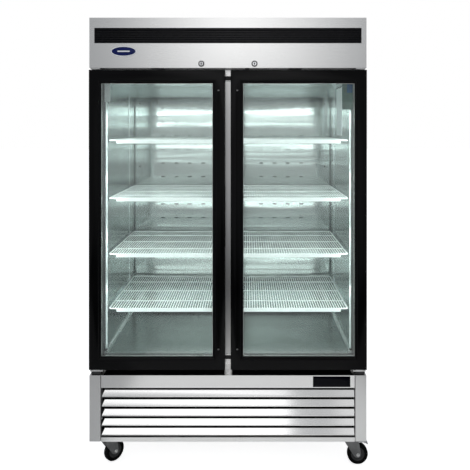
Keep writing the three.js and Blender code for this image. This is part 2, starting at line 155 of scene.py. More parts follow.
def make_interior_lamps():
    """The jamb and mullion lamps light the shelves; the level strips are what the duct panel mirrors."""
    columns = ((0.56, 0.95, 0.084), (0.95, 1.33, 0.204), (1.33, 1.72, 0.30))
    for name, side in SIDES:
        middle = side * DOOR_MIDDLE
        for part, (z0, z1, power) in enumerate(columns):
            z = (z0 + z1) / 2
            for place, x, aim_x in (("jamb", 0.588, 0.15), ("mullion", 0.034, 0.42)):
                lamp = area_light(f"{place}_lamp_{name}_{part}", (side * x, LAMP_Y, z),
                                  (side * aim_x, 0.25, z), (0.02, z1 - z0), power, COOL)
                lamp.data.spread = math.radians(110)
                lamp.visible_glossy = False
        for row, level in enumerate(SHELF_LEVELS):
            z = level * MM
            deck = area_light(f"deck_lamp_{name}_{row}", (middle, LAMP_Y, z + 0.10),
                              (middle, -0.10, z), (0.52, 0.03), 0.8, COOL)
            band = area_light(f"band_lamp_{name}_{row}", (middle, LAMP_Y, z - 0.012),
                              (middle, 0.3, z - 0.012), (0.50, 0.026), 0.055, COOL)
            deck.visible_glossy = band.visible_glossy = False
        for row, (z, height, radiance) in enumerate(STREAKS):
            lamp = area_light(f"streak_lamp_{name}_{row}", (middle, LAMP_Y, z), (middle, 0.3, z),
                              (STREAK_WIDTH, height), radiance * math.pi * STREAK_WIDTH * height, COOL)
            lamp.data.spread = math.radians(120)


def make_floor():
    mesh = bpy.data.meshes.new("floor")
    reach = 40.0
    corners = [(-reach, -reach, 0), (reach, -reach, 0), (reach, reach, 0), (-reach, reach, 0)]
    mesh.from_pydata(corners, [], [(0, 1, 2, 3)])
    mesh.materials.append(FLOOR)
    floor = bpy.data.objects.new("floor", mesh)
    bpy.context.scene.collection.objects.link(floor)


def make_dark_floor():
    """Dark ground beyond the bright sweep, seen only in mirror reflections on the lower front."""
    near, far, half = -1.75, -4.5, 2.0
    mesh = bpy.data.meshes.new("dark_floor")
    corners = [(-half, far, 0.004), (half, far, 0.004), (half, near, 0.004), (-half, near, 0.004)]
    mesh.from_pydata(corners, [], [(0, 1, 2, 3)])
    mesh.materials.append(PAINTED_SHADE_BLACK)
    patch = bpy.data.objects.new("dark_floor", mesh)
    patch.visible_camera = patch.visible_diffuse = False
    patch.visible_transmission = patch.visible_shadow = False
    bpy.context.scene.collection.objects.link(patch)


# ---------------- materials

def blank_material(name):
    made = bpy.data.materials.new(name)
    made.use_nodes = True
    tree = made.node_tree
    shader = next(n for n in tree.nodes if n.type == "BSDF_PRINCIPLED")
    return made, tree, shader


def object_space(tree, scale):
    where = tree.nodes.new("ShaderNodeTexCoord")
    mapping = tree.nodes.new("ShaderNodeMapping")
    mapping.inputs["Scale"].default_value = scale
    tree.links.new(where.outputs["Object"], mapping.inputs["Vector"])
    return mapping.outputs["Vector"]


def noise(tree, scale, detail=3.0, rough=0.55):
    made = tree.nodes.new("ShaderNodeTexNoise")
    made.inputs["Scale"].default_value = 1.0
    made.inputs["Detail"].default_value = detail
    made.inputs["Roughness"].default_value = rough
    tree.links.new(object_space(tree, scale), made.inputs["Vector"])
    return made.outputs["Fac"]


def spread(tree, value, low, high):
    made = tree.nodes.new("ShaderNodeMapRange")
    made.inputs["From Min"].default_value = 0.3
    made.inputs["From Max"].default_value = 0.7
    made.inputs["To Min"].default_value = low
    made.inputs["To Max"].default_value = high
    tree.links.new(value, made.inputs["Value"])
    return made.outputs["Result"]


def add_up(tree, first, second):
    made = tree.nodes.new("ShaderNodeMath")
    made.operation = "ADD"
    tree.links.new(first, made.inputs[0])
    tree.links.new(second, made.inputs[1])
    return made.outputs[0]


def colour_mix(tree, factor, low, high):
    made = tree.nodes.new("ShaderNodeMix")
    made.data_type = "RGBA"
    tree.links.new(factor, made.inputs["Factor"])
    made.inputs["A"].default_value = (*low, 1)
    made.inputs["B"].default_value = (*high, 1)
    return made.outputs["Result"]


def bump(tree, shader, height, strength, distance):
    made = tree.nodes.new("ShaderNodeBump")
    made.inputs["Strength"].default_value = strength
    made.inputs["Distance"].default_value = distance
    tree.links.new(height, made.inputs["Height"])
    tree.links.new(made.outputs["Normal"], shader.inputs["Normal"])


def surface(name, colour, rough, metal=0.0, grain=(700, 700, 700), grain_bump=0.1, grain_deep=0.0002,
            vary=0.08, rough_vary=0.06, broad=6.0, specular=0.5, coat=0.0, detail=4.0):
    """A finish with fine grain in bump and roughness, and broad uneven tone as handling leaves it."""
    made, tree, shader = blank_material(name)
    fine = noise(tree, grain, detail)
    wide = noise(tree, (broad, broad, broad), 3.0)
    low = tuple(c * (1 - vary) for c in colour)
    high = tuple(min(1.0, c * (1 + vary)) for c in colour)
    tree.links.new(colour_mix(tree, spread(tree, wide, 0.0, 1.0), low, high), shader.inputs["Base Color"])
    uneven = add_up(
        tree,
        spread(tree, wide, rough - rough_vary, rough + rough_vary),
        spread(tree, fine, -rough_vary * 0.5, rough_vary * 0.5),
    )
    tree.links.new(uneven, shader.inputs["Roughness"])
    bump(tree, shader, fine, grain_bump, grain_deep)
    shader.inputs["Metallic"].default_value = metal
    shader.inputs["Specular IOR Level"].default_value = specular
    shader.inputs["Coat Weight"].default_value = coat
    return made


def studio_floor(name, colour):
    """Matt white paint that looks evenly lit to the camera, as a white cyclorama does."""
    made = surface(name, colour, 0.6, grain=(80, 80, 80), grain_bump=0.02, vary=0.01, specular=0.2, broad=2.0)
    tree = made.node_tree
    shader = next(n for n in tree.nodes if n.type == "BSDF_PRINCIPLED")
    shader.inputs["Emission Color"].default_value = (1, 1, 1, 1)
    path = tree.nodes.new("ShaderNodeLightPath")
    scale = tree.nodes.new("ShaderNodeMath")
    scale.operation = "MULTIPLY"
    scale.inputs[1].default_value = 0.80
    tree.links.new(path.outputs["Is Camera Ray"], scale.inputs[0])
    tree.links.new(scale.outputs[0], shader.inputs["Emission Strength"])
    return made


def galvanised(name, colour):
    """Zinc spangle: cells of slightly different tone and roughness."""
    made, tree, shader = blank_material(name)
    cells = tree.nodes.new("ShaderNodeTexVoronoi")
    cells.inputs["Scale"].default_value = 1.0
    tree.links.new(object_space(tree, (90, 90, 90)), cells.inputs["Vector"])
    grey = tree.nodes.new("ShaderNodeSeparateColor")
    tree.links.new(cells.outputs["Color"], grey.inputs["Color"])
    low = tuple(c * 0.85 for c in colour)
    high = tuple(min(1, c * 1.1) for c in colour)
    tree.links.new(colour_mix(tree, grey.outputs["Red"], low, high), shader.inputs["Base Color"])
    tree.links.new(spread(tree, grey.outputs["Green"], 0.38, 0.52), shader.inputs["Roughness"])
    bump(tree, shader, noise(tree, (400, 400, 400)), 0.08, 0.0002)
    shader.inputs["Metallic"].default_value = 1.0
    return made


def finned(name, colour):
    """A coil block: thin upright fins side by side, with painted shade in the gaps between them."""
    made, tree, shader = blank_material(name)
    wave = tree.nodes.new("ShaderNodeTexWave")
    wave.wave_type = "BANDS"
    wave.bands_direction = "X"
    wave.inputs["Scale"].default_value = 1.0
    wave.inputs["Distortion"].default_value = 0.6
    tree.links.new(object_space(tree, (120, 30, 30)), wave.inputs["Vector"])
    # Painted shade: the gaps between the fins get a quarter of the fins' colour.
    dark = tuple(c * 0.25 for c in colour)
    tree.links.new(colour_mix(tree, wave.outputs["Fac"], dark, colour), shader.inputs["Base Color"])
    bump(tree, shader, wave.outputs["Fac"], 0.5, 0.001)
    tree.links.new(spread(tree, noise(tree, (40, 40, 40)), 0.35, 0.55), shader.inputs["Roughness"])
    shader.inputs["Metallic"].default_value = 0.9
    return made


def clear_glass(name, tint):
    """Float glass. Light from lamps passes straight through it, so that it lights what is behind."""
    made, tree, shader = blank_material(name)
    shader.inputs["Base Color"].default_value = (*tint, 1)
    shader.inputs["Transmission Weight"].default_value = 1.0
    shader.inputs["IOR"].default_value = 1.5
    tree.links.new(spread(tree, noise(tree, (9, 9, 9)), 0.0, 0.012), shader.inputs["Roughness"])
    through = tree.nodes.new("ShaderNodeBsdfTransparent")
    through.inputs["Color"].default_value = (*tint, 1)
    path = tree.nodes.new("ShaderNodeLightPath")
    mix = tree.nodes.new("ShaderNodeMixShader")
    out = next(n for n in tree.nodes if n.type == "OUTPUT_MATERIAL")
    tree.links.new(path.outputs["Is Shadow Ray"], mix.inputs[0])
    tree.links.new(shader.outputs[0], mix.inputs[1])
    tree.links.new(through.outputs[0], mix.inputs[2])
    tree.links.new(mix.outputs[0], out.inputs["Surface"])
    return made


def lamp_lens(name, colour, strength):
    """A diffusing cover with faintly brighter spots where the diodes sit behind it."""
    made, tree, shader = blank_material(name)
    wave = tree.nodes.new("ShaderNodeTexWave")
    wave.bands_direction = "Z"
    wave.inputs["Scale"].default_value = 1.0
    tree.links.new(object_space(tree, (10, 10, 22)), wave.inputs["Vector"])
    low = tuple(c * 0.8 for c in colour)
    tree.links.new(colour_mix(tree, wave.outputs["Fac"], low, colour), shader.inputs["Emission Color"])
    shader.inputs["Emission Strength"].default_value = strength
    tree.links.new(spread(tree, noise(tree, (60, 60, 60)), 0.25, 0.4), shader.inputs["Roughness"])
    shader.inputs["Base Color"].default_value = (0.9, 0.92, 0.93, 1)
    return made


FLOOR = studio_floor("floor_paint", (0.86, 0.86, 0.86))
STEEL_ACROSS = surface("steel_brushed_across", (0.80, 0.795, 0.785), 0.27, 1.0, grain=(5, 500, 1100),
                       grain_bump=0.012, vary=0.01, rough_vary=0.012, broad=2.5)
STEEL_LEDGE = surface("steel_ledge", (0.80, 0.795, 0.785), 0.19, 1.0, grain=(5, 500, 1100),
                      grain_bump=0.012, vary=0.01, rough_vary=0.012, broad=2.5)
STEEL_UPRIGHT = surface("steel_brushed_upright", (0.70, 0.697, 0.69), 0.30, 1.0, grain=(900, 900, 5),
                        grain_bump=0.012, vary=0.01, rough_vary=0.012, broad=2.5)
LINER_METAL = surface("liner_metal", (0.54, 0.595, 0.585), 0.20, 1.0, grain=(1.1, 1.1, 16), grain_bump=0.25,
                      grain_deep=0.004, vary=0.02, rough_vary=0.03, broad=3.0, detail=1.0)
PANEL_METAL = surface("duct_panel_metal", (0.55, 0.595, 0.58), 0.12, 1.0, grain=(1.3, 1.3, 15),
                      grain_bump=0.35, grain_deep=0.004, vary=0.02, rough_vary=0.02, broad=3.0, detail=1.0)
ZINC = galvanised("galvanised_sheet", (0.62, 0.63, 0.63))
ZINC_PLATE = surface("zinc_plate", (0.20, 0.20, 0.20), 0.42, 0.85, grain=(300, 300, 300), grain_bump=0.15,
                     vary=0.15, broad=40.0)
HINGE_METAL = surface("hinge_steel", (0.72, 0.72, 0.71), 0.3, 1.0, grain=(300, 500, 500), vary=0.05)
DOOR_BLACK = surface("door_black", (0.002, 0.002, 0.0023), 0.17, grain=(1400, 1400, 1400), grain_bump=0.05,
                     vary=0.15, rough_vary=0.03, specular=0.11)
VENT_BLACK = surface("vent_black", (0.004, 0.004, 0.006), 0.16, grain=(900, 900, 900), grain_bump=0.02,
                     vary=0.15, rough_vary=0.02)
TRIM_BLACK = surface("trim_black", (0.016, 0.016, 0.017), 0.45, grain=(900, 900, 900), vary=0.2)
# Flat black for painted shade behind the louvres and on the ledge under the doors; also the dark ground seen
# only in reflections.
PAINTED_SHADE_BLACK = surface("painted_shade_black", (0.002, 0.002, 0.002), 0.8, grain=(500, 500, 500), vary=0.3,
                     specular=0.05)
RUBBER = surface("gasket_rubber", (0.03, 0.03, 0.03), 0.7, grain=(500, 500, 500), grain_bump=0.3, vary=0.25)
TYRE = surface("wheel_rubber", (0.002, 0.002, 0.002), 0.42, grain=(260, 260, 260), grain_bump=0.3, vary=0.3,
               specular=0.07)
GLOSS_BLACK = surface("controller_gloss", (0.001, 0.001, 0.003), 0.08, grain=(60, 60, 60), grain_bump=0.01,
                      vary=0.1, rough_vary=0.02, specular=0.08)
WIRE_WHITE = surface("wire_coating", (0.93, 0.96, 0.95), 0.3, grain=(500, 500, 500), grain_bump=0.1,
                     vary=0.03, broad=14.0, coat=0.2)
CLIP_STEEL = surface("clip_steel", (0.25, 0.26, 0.27), 0.4, 0.8, grain=(500, 500, 500), vary=0.15)
CLIP_BRIGHT = surface("bright_bead", (0.86, 0.89, 0.88), 0.25, 1.0, grain=(400, 400, 400), grain_bump=0.03,
                      vary=0.03)
CHROME = surface("chrome", (0.62, 0.62, 0.63), 0.12, 1.0, grain=(200, 200, 200), grain_bump=0.02,
                 vary=0.03, rough_vary=0.03, broad=60.0)
BADGE_BLUE = surface("badge_blue", (0.004, 0.012, 0.105), 0.22, grain=(300, 300, 300), vary=0.12,
                     specular=0.2, grain_bump=0.02, broad=40.0)
BADGE_RIM = surface("badge_rim", (0.93, 0.96, 1.0), 0.35, 0.0, grain=(300, 300, 300), grain_bump=0.02,
                    vary=0.02, broad=40.0)
LABEL = surface("blank_label", (0.90, 0.96, 0.98), 0.5, grain=(200, 200, 200), vary=0.06, broad=25.0)
LABEL_GREEN = surface("blank_label_green", (0.12, 0.24, 0.20), 0.45, grain=(200, 200, 200), vary=0.2,
                      broad=30.0)
LABEL_BLUE = surface("blank_label_blue", (0.03, 0.17, 0.36), 0.45, grain=(200, 200, 200), vary=0.15,
                     broad=30.0)
COIL = finned("coil_fins", (0.55, 0.54, 0.50))
SHELL_BLACK = surface("compressor_paint", (0.012, 0.012, 0.012), 0.22, grain=(120, 120, 120),
                      grain_bump=0.2, vary=0.3, coat=0.3)
FAN_BLACK = surface("fan_plastic", (0.02, 0.02, 0.02), 0.4, grain=(400, 400, 400), vary=0.2)
GLASS = clear_glass("door_glass", (0.965, 0.99, 0.98))
LENS = lamp_lens("lamp_lens", (0.80, 1.0, 0.96), 0.20)


# ---------------- mesh building

class Shape:
    """Collects closed bodies into one mesh."""

    def __init__(self):
        self.verts = []
        self.faces = []

    def add(self, verts, faces):
        base = len(self.verts)
        self.verts += [Vector(v) for v in verts]
        self.faces += [tuple(base + i for i in face) for face in faces]
        return self

    def box(self, lo, hi):
        (a, b, c), (d, e, f) = lo, hi
        corners = [(x, y, z) for x in (a, d) for y in (b, e) for z in (c, f)]
        return self.add(
            corners,
            [(0, 1, 3, 2), (4, 6, 7, 5), (0, 4, 5, 1), (2, 3, 7, 6), (0, 2, 6, 4), (1, 5, 7, 3)],
        )

    def bands(self, rings, closed_around=True, closed_along=False):
        """Joins rings of equal length with quads; caps both ends unless the bands close on themselves."""
        size = len(rings[0])
        verts = [v for ring in rings for v in ring]
        faces = []
        spans = len(rings) if closed_along else len(rings) - 1
        steps = size if closed_around else size - 1
        for i in range(spans):
            nxt = (i + 1) % len(rings)
            for j in range(steps):
                k = (j + 1) % size
                faces.append((i * size + j, i * size + k, nxt * size + k, nxt * size + j))
        if not closed_along and closed_around:
            faces.append(tuple(range(size - 1, -1, -1)))
            last = (len(rings) - 1) * size
            faces.append(tuple(last + j for j in range(size)))
        return self.add(verts, faces)

    def tube(self, points, radius, sides=8):
        """A round wire along a polyline, with mitred bends."""
        points = [Vector(p) for p in points]
        rings = []
        across = None
        for i, p in enumerate(points):
            ahead = (points[min(i + 1, len(points) - 1)] - points[max(i - 1, 0)]).normalized()
            if across is None:
                across = ahead.orthogonal().normalized()
            across = (across - ahead * across.dot(ahead)).normalized()
            side = ahead.cross(across)
            ring = []
            for j in range(sides):
                turn = 2 * math.pi * j / sides
                ring.append(p + radius * (math.cos(turn) * across + math.sin(turn) * side))
            rings.append(ring)
        return self.bands(rings)

    def lathe(self, profile, place, axis, sides=32):
        """Turns a closed or axis-to-axis profile of (radius, height) points about an axis."""
        axis = Vector(axis).normalized()
        across = axis.orthogonal().normalized()
        side = axis.cross(across)
        place = Vector(place)
        closed = profile[0] == profile[-1]
        if closed:
            profile = profile[:-1]
        rings = []
        for radius, height in profile:
            ring = []
            for j in range(sides):
                turn = 2 * math.pi * j / sides
                out = math.cos(turn) * across + math.sin(turn) * side
                ring.append(place + axis * height + out * max(radius, 1e-5))
            rings.append(ring)
        return self.bands(rings, closed_along=closed)

    def mitred(self, outer, inner, section):
        """A rectangular ring in the XZ plane.

        section lists (t, y): t is 0 at the outer edge and 1 at the inner.
        """
        rings = []
        for t, y in section:
            x0, x1, z0, z1 = [a + (b - a) * t for a, b in zip(outer, inner)]
            rings.append([(x0, y, z0), (x1, y, z0), (x1, y, z1), (x0, y, z1)])
        return self.bands(rings, closed_along=True)

    def turned(self, matrix):
        self.verts = [matrix @ v for v in self.verts]
        return self

    def piece(self, name, material, body, stands_for=(), slot=None, bevel=0.0, segments=2, smooth=35):
        mesh = bpy.data.meshes.new(name)
        mesh.from_pydata([tuple(v) for v in self.verts], [], self.faces)
        work = bmesh.new()
        work.from_mesh(mesh)
        bmesh.ops.remove_doubles(work, verts=work.verts, dist=1e-6)
        bmesh.ops.recalc_face_normals(work, faces=work.faces)
        work.to_mesh(mesh)
        work.free()
        if smooth:
            mesh.shade_smooth()
            mesh.set_sharp_from_angle(angle=math.radians(smooth))
        mesh.materials.append(material)
        made = bpy.data.objects.new(name, mesh)
        bpy.context.scene.collection.objects.link(made)
        if bevel:
            round_edges(made, bevel, segments)
        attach(made, body)
        if stands_for:
            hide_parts(*stands_for)
        return made


def round_edges(thing, width, segments=2):
    edge = thing.modifiers.new("rounded_edges", "BEVEL")
    edge.width = width
    edge.segments = segments
    edge.limit_method = "ANGLE"
    edge.angle_limit = math.radians(40)
    edge.harden_normals = True


def dress(node, material, bevel=0.0008):
    """Gives a CAD node its finish, and softens its sharp edges."""
    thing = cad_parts[node]
    thing.data.materials.clear()
    thing.data.materials.append(material)
    if bevel:
        weld = thing.modifiers.new("weld", "WELD")
        weld.merge_threshold = 2e-5
        round_edges(thing, bevel)


def sided(side, x0, x1, y0, y1, z0, z1):
    """A box for Shape.box, given for the right side and mirrored onto the left. Arguments in millimetres."""
    a, b = sorted((side * x0, side * x1))
    return (a * MM, y0 * MM, z0 * MM), (b * MM, y1 * MM, z1 * MM)


def mm(*points):
    return [tuple(v * MM for v in p) for p in points]


def rounded_rectangle(x0, x1, z0, z1, radius, steps=4):
    """Corner points of a rectangle with rounded corners, counter-clockwise."""
    points = []
    corners = ((x1 - radius, z1 - radius, 0), (x0 + radius, z1 - radius, 90),
               (x0 + radius, z0 + radius, 180), (x1 - radius, z0 + radius, 270))
    for cx, cz, start in corners:
        for i in range(steps + 1):
            turn = math.radians(start + 90 * i / steps)
            points.append((cx + radius * math.cos(turn), cz + radius * math.sin(turn)))
    return points


def ellipse(cx, cz, rx, rz, steps=48):
    turns = [2 * math.pi * i / steps for i in range(steps)]
    return [(cx + rx * math.cos(t), cz + rz * math.sin(t)) for t in turns]


def slab(shape, outline, y0, y1):
    """A flat plate facing -Y: an outline of (x, z) in millimetres, from y0 to y1."""
    front = [(x * MM, y0 * MM, z * MM) for x, z in outline]
    back = [(x * MM, y1 * MM, z * MM) for x, z in outline]
    return shape.bands([front, back])


def sheet(plan, levels, cut):
    """Folded sheet: plan is a polyline of (x, y), and levels are heights.

    cut(i, j) is true where the sheet is pierced.
    """
    made = Shape()
    verts = [(x * MM, y * MM, z * MM) for x, y in plan for z in levels]
    rows = len(levels)
    faces = []
    for i in range(len(plan) - 1):
        for j in range(rows - 1):
            if not cut(i, j):
                a = i * rows + j
                faces.append((a, a + rows, a + rows + 1, a + 1))
    return made.add(verts, faces)


def thicken(thing, thickness):
    solid = thing.modifiers.new("thickness", "SOLIDIFY")
    solid.thickness = thickness
    solid.offset = 0


def pierce(thing, cutters):
    """Cuts boxes out of a closed mesh that has no modifiers yet, once and for all."""
    tool_mesh = bpy.data.meshes.new("cutters")
    tool_mesh.from_pydata([tuple(v) for v in cutters.verts], [], cutters.faces)
    work = bmesh.new()
    work.from_mesh(tool_mesh)
    bmesh.ops.recalc_face_normals(work, faces=work.faces)
    work.to_mesh(tool_mesh)
    work.free()
    tool = bpy.data.objects.new("cutters", tool_mesh)
    bpy.context.scene.collection.objects.link(tool)
    cut = thing.modifiers.new("cut", "BOOLEAN")
    cut.operation = "DIFFERENCE"
    cut.object = tool
    cut.solver = "EXACT"
    bpy.context.view_layer.update()
    graph = bpy.context.evaluated_depsgraph_get()
    done = bpy.data.meshes.new_from_object(thing.evaluated_get(graph))
    thing.modifiers.remove(cut)
    thing.data = done
    bpy.data.objects.remove(tool)


def screw_head(shape, place, axis, radius=0.0045):
    """A pan head with a shallow round crown."""
    profile = [(0, 0), (radius, 0), (radius, radius * 0.25), (radius * 0.8, radius * 0.5),
               (radius * 0.4, radius * 0.62), (0, radius * 0.65)]
    return shape.lathe(profile, place, axis, 16)


# ---------------- cabinet body

def build_cabinet():
    for name, _ in SIDES:
        dress("side_wall_" + name, STEEL_UPRIGHT, 0.002)
        dress("base_side_" + name, STEEL_UPRIGHT, 0.002)
    dress("header_cover", STEEL_ACROSS, 0.0015)
    dress("roof_slab", STEEL_ACROSS)
    dress("floor_deck", STEEL_ACROSS)
    dress("back_wall", ZINC, 0.0015)
    dress("inner_liner", LINER_METAL, 0.0006)
    dress("centre_mullion", STEEL_UPRIGHT)
    dress("base_top_panel", STEEL_LEDGE, 0.0008)
    dress("chassis_tray", STEEL_ACROSS, 0.0008)
    dress("rear_grille", ZINC, 0.0008)
    dress("power_inlet", FAN_BLACK, 0.0008)
    dress("evaporator", COIL)
    dress("evaporator_fan", FAN_BLACK, 0.0005)
    dress("condenser", COIL)
    dress("condenser_fan", FAN_BLACK, 0.0005)
    strips = Shape()
    for z0, z1 in ((1863, 1884), (502, 520)):
        strips.box(*sided(1, -14, 14, -331.6, -330.1, z0, z1))
    strips.piece("breaker_strips", TRIM_BLACK, "cabinet", bevel=0.0006)
    bumpers = Shape()
    for x0, x1 in ((-367, -310), (83, 101), (296, 353)):
        bumpers.box(*sided(1, x0, x1, -388, -372, 1911, 1917.9))
    bumpers.piece("door_bumpers", TRIM_BLACK, "cabinet", bevel=0.0012)
    screws = Shape()
    for x in (-645, -430, -215, 0, 215, 430, 645):
        for z in (145, 438):
            screw_head(screws, Vector((x, 397.2, z)) * MM, (0, 1, 0), 0.004)
    screws.piece("rear_screws", ZINC_PLATE, "cabinet")


def build_vent():
    x0, x1, z0, z1 = -638, 638, 2036, 2109
    frame_ring = Shape().mitred(
        [v * MM for v in (x0, x1, z0, z1)],
        [v * MM for v in (x0 + 4, x1 - 4, z0 + 4, z1 - 4)],
        [(0, -0.389), (0, -0.3905), (0.3, -0.391), (0.75, -0.3908), (1, -0.389), (1, -0.378), (0, -0.378)],
    )
    frame_ring.piece("header_vent_bezel", VENT_BLACK, "cabinet", slot="vent_black", bevel=0.0003)
    ribs = Shape()
    count = 6
    pitch = (z1 - z0 - 8) / count
    for i in range(count):
        foot = z0 + 4 + i * pitch
        section = [(-379, foot + 1), (-384.5, foot + 1.2), (-389.6, foot + pitch * 0.42),
                   (-390.6, foot + pitch * 0.5), (-390.6, foot + pitch * 0.62),
                   (-389.4, foot + pitch * 0.68), (-384.5, foot + pitch * 0.92), (-379, foot + pitch * 0.98)]
        ends = [[(x * MM, y * MM, z * MM) for y, z in section] for x in (x0 + 3, x1 - 3)]
        ribs.bands(ends)
    ribs.box(*sided(1, x0 + 2, x1 - 2, -381, -378, z0 + 2, z1 - 2))
    ribs.piece("header_vent_ribs", VENT_BLACK, "cabinet", ["header_vent"], "vent_black", smooth=30)


def build_badge():
    cx, cz, rx, rz = -498, 1997, 61, 25
    rim = Shape()
    rings = []
    for inset, y in ((0, -390.2), (0, -392), (0.8, -392.9), (3.2, -392.9), (4, -392.2), (4, -390.2)):
        rings.append([(x * MM, y * MM, z * MM) for x, z in ellipse(cx, cz, rx - inset, rz - inset, 64)])
    rim.bands(rings, closed_along=True)
    rim.piece("badge_rim", BADGE_RIM, "cabinet", slot="badge_blue")
    face = Shape()
    rings = []
    for inset, y in ((4, -390.2), (4, -392), (5.5, -392.4), (24.9, -392.7)):
        edge = ellipse(cx, cz, rx - inset, max(rz - inset, 0.1), 64)
        rings.append([(x * MM, y * MM, z * MM) for x, z in edge])
    face.bands(rings)
    face.piece("badge_face", BADGE_BLUE, "cabinet", ["badge"], "badge_blue")
    bar = Shape()
    slab(bar, rounded_rectangle(cx - 30, cx + 30, cz - 3.2, cz + 3.2, 3.0), -393.1, -392.5)
    bar.piece("badge_bar", BADGE_RIM, "cabinet", slot="badge_blue")


def build_locks():
    for name, side in SIDES:
        head = Shape()
        x, z = side * 127 * MM, 1938 * MM
        barrel = mm((0, -27), (10.5, -27), (10.5, 0.2), (9.4, 0.2), (9.4, 4.0), (8.8, 4.7), (0, 4.7))
        head.lathe(barrel, (x, -0.390, z), (0, -1, 0), 40)
        head.box(*sided(1, side * 127 - 7, side * 127 + 26, -364, -360, 1931, 1945))
        head.piece("lock_barrel_" + name, CHROME, f"lock_{name}_body", ["lock_" + name], "lock_chrome")
        collar = Shape()
        collar.lathe(mm((9.4, 0.3), (14.4, 0.3), (14.4, 2.6), (13.4, 3.6), (9.4, 3.6), (9.4, 0.3)),
                     (x, -0.390, z), (0, -1, 0), 40)
        collar.piece("lock_collar_" + name, TRIM_BLACK, f"lock_{name}_body", slot="lock_chrome")
        # Painted shade: the black slot stands in for the shadowed opening of the key slot.
        slot_shape = Shape()
        slot_shape.lathe(mm((0, 3.9), (4.4, 3.9), (4.4, 4.75), (3.8, 5.0), (0, 5.0)), (x, -0.390, z),
                         (0, -1, 0), 32)
        slot_shape.box(*sided(1, side * 127 - 1.6, side * 127 + 1.6, -395.1, -393, 1932, 1944))
        slot_shape.piece("lock_keyway_painted_shade_" + name, TRIM_BLACK, f"lock_{name}_body", slot="lock_chrome",
                         bevel=0.0003)


def build_louvres():
    grille = Shape()
    for i in range(LOUVRES):
        foot = LOUVRE_FOOT - i * LOUVRE_PITCH
        top = foot + LOUVRE_RISE
        front = [(-380.4, top + 0.3), (-382.1, top + 0.1), (-382.9, top - 1.3), (-388.9, foot + 4.6),
                 (-389.9, foot + 3.0), (-389.95, foot + 0.6), (-389.2, foot), (-379, foot),
                 (-379, foot + 1.2), (-388.2, foot + 1.2), (-388.0, foot + 3.4), (-381.7, top - 1.6),
                 (-380.4, top - 1.1)]
        rings = []
        for x, slant in ((-604, 1), (604, 0)):
            ring = []
            for y, z in front:
                lean = LOUVRE_LEAN * slant * (z - foot)
                ring.append(((x + lean) * MM, y * MM, z * MM))
            rings.append(ring)
        grille.bands(rings)
    grille.piece("louvre_slats", STEEL_LEDGE, "cabinet", ["louvre_grille"], "stainless", smooth=20)
    # Painted shade: a black screen and three black uprights behind the slats make the gaps between the
    # louvres dark.
    screen = Shape()
    screen.box(*sided(1, -600, 600, -369.5, -368.5, 156, 386))
    for x in (-603.5, -3, 598):
        screen.box(*sided(1, x, x + 5.5, -379.0, -369, 157, 386))
    screen.piece("louvre_painted_shade_screen", PAINTED_SHADE_BLACK, "cabinet", bevel=0.0003)


def build_controller():
    x0, x1, z0, z1 = 407, 584, 394, 444
    window = Shape()
    rings = []
    for inset, y in ((0, -374), (0, -390.6), (0.5, -391.2), (1.4, -391.4)):
        outline = rounded_rectangle(x0 + inset, x1 - inset, z0 + inset, z1 - inset, 3.0 - inset * 0.5)
        rings.append([(x * MM, y * MM, z * MM) for x, z in outline])
    window.bands(rings)
    window.piece("controller_panel", GLOSS_BLACK, "cabinet", ["controller_window"], "gloss_black")
    keys = Shape()
    for i in range(4):
        x = 533 + i * 11
        slab(keys, rounded_rectangle(x - 3.6, x + 3.6, 414, 421, 1.6), -391.5, -391.2)
    slab(keys, rounded_rectangle(430, 492, 404, 434, 2.0), -391.45, -391.2)
    keys.piece("controller_keys", GLOSS_BLACK, "cabinet", slot="gloss_black")


def build_compressor():
    shell = Shape()
    cx, cy, z0 = -260, 120, 136.3
    profile = [(0, 5), (84, 5), (91, 9), (92, 18), (92, 92), (97.5, 95), (98, 100), (97.5, 105), (92, 108),
               (91, 122), (87, 150), (78, 168), (60, 181), (30, 188), (0, 189)]
    shell.lathe(mm(*profile), (cx * MM, cy * MM, z0 * MM), (0, 0, 1), 64)
    shell.box(mm((cx - 110, cy - 70, z0))[0], mm((cx + 110, cy + 70, z0 + 6))[0])
    shell.box(mm((cx + 80, cy - 26, z0 + 50))[0], mm((cx + 112, cy + 26, z0 + 110))[0])
    shell.piece("compressor_shell", SHELL_BLACK, "cabinet", ["compressor"], "compressor_black", bevel=0.002)


# ---------------- interior

def build_interior():
    for name, side in SIDES:
        build_pilaster("front", name, side, -314, -270)
        build_pilaster("rear", name, side, 200, 240)
        build_light_bar(name, side)
        for level, z in enumerate(SHELF_LEVELS, 1):
            build_shelf(name, side, level, z)
    build_duct_panel()
    build_floor_beads()
    build_ledge_shade_strips()
    build_labels()


def build_pilaster(place, name, side, y0, y1):
    """A slotted channel with its web facing into the cabinet."""
    web, foot = 598.3, 603.6
    pitch = 25.4
    levels = [540.0]
    z = 552.0
    slots = []
    while z + 14 < 1844:
        levels += [z, z + 10]
        slots.append(len(levels) - 2)
        z += pitch
    levels.append(1848.0)
    middle = (y0 + y1) / 2
    line = [(side * foot, y0), (side * web, y0 + 0.6), (side * web, middle - 2.2), (side * web, middle + 2.2),
            (side * web, y1 - 0.6), (side * foot, y1)]
    taken = set(slots)
    made = sheet(line, levels, lambda i, j: i == 2 and j in taken)
    strip = made.piece(f"pilaster_{place}_{name}_strip", LINER_METAL, "cabinet", [f"pilaster_{place}_{name}"],
                       "liner_metal", smooth=0)
    thicken(strip, 0.0012)
    clips = Shape()
    for level in SHELF_LEVELS:
        a, b = sorted((side * 598.2, side * 585.5))
        z = level - 8.5
        clips.box(mm((a, middle - 9, z - 2.2))[0], mm((b, middle + 9, z - 0.4))[0])
        c, d = sorted((side * 598.2, side * 596.4))
        clips.box(mm((c, middle - 9, z - 16))[0], mm((d, middle + 9, z + 10))[0])
        e, f = sorted((side * 587.3, side * 585.5))
        clips.box(mm((e, middle - 9, z - 0.6))[0], mm((f, middle + 9, z + 3))[0])
    clips.piece(f"shelf_clips_{place}_{name}", CLIP_STEEL, "cabinet", bevel=0.0004)


